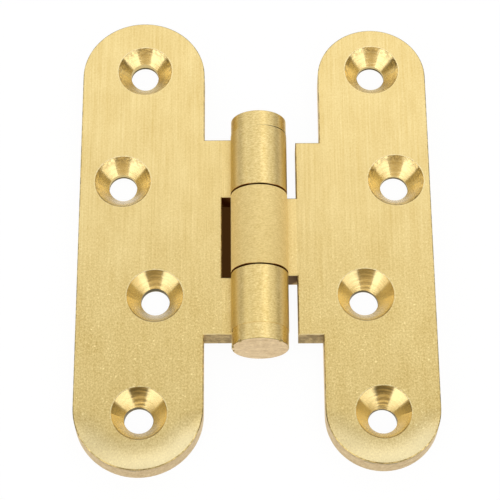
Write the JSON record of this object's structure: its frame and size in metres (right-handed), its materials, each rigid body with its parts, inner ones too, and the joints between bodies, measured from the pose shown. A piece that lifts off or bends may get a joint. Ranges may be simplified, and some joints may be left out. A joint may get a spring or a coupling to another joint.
{
  "type": "h hinge",
  "caption": "Flat brass H hinge: a wide and a narrow round-ended leaf with staggered countersunk screw holes, joined by a short capped barrel on a pin.",
  "frame": {"origin": "middle of the open hinge's footprint, on the plane of the leaves' backs", "axes": "+Y along the barrel towards the top cap, +X towards the narrow leaf, +Z out of the countersunk faces"},
  "size_m": [0.0462, 0.0638, 0.0074],
  "materials": {
    "satin_brass": "satin, brushed lengthwise",
    "cap_brass": "satin, sawn and lightly brushed",
    "pin_steel": "plain drawn wire"
  },
  "bodies": {
    "wide_leaf": {"left_leaf": "satin_brass", "hinge_pin": "pin_steel", "top_cap": "cap_brass", "bottom_cap": "cap_brass"},
    "narrow_leaf": {"right_leaf": "satin_brass"}
  },
  "joints": [
    {"name": "leaf_swing", "type": "hinge", "parent": "wide_leaf", "child": "narrow_leaf", "pos_m": [0.0005, 0, 0.0037], "axis": [0, -1, 0], "range_deg": [0, 180]}
  ]
}
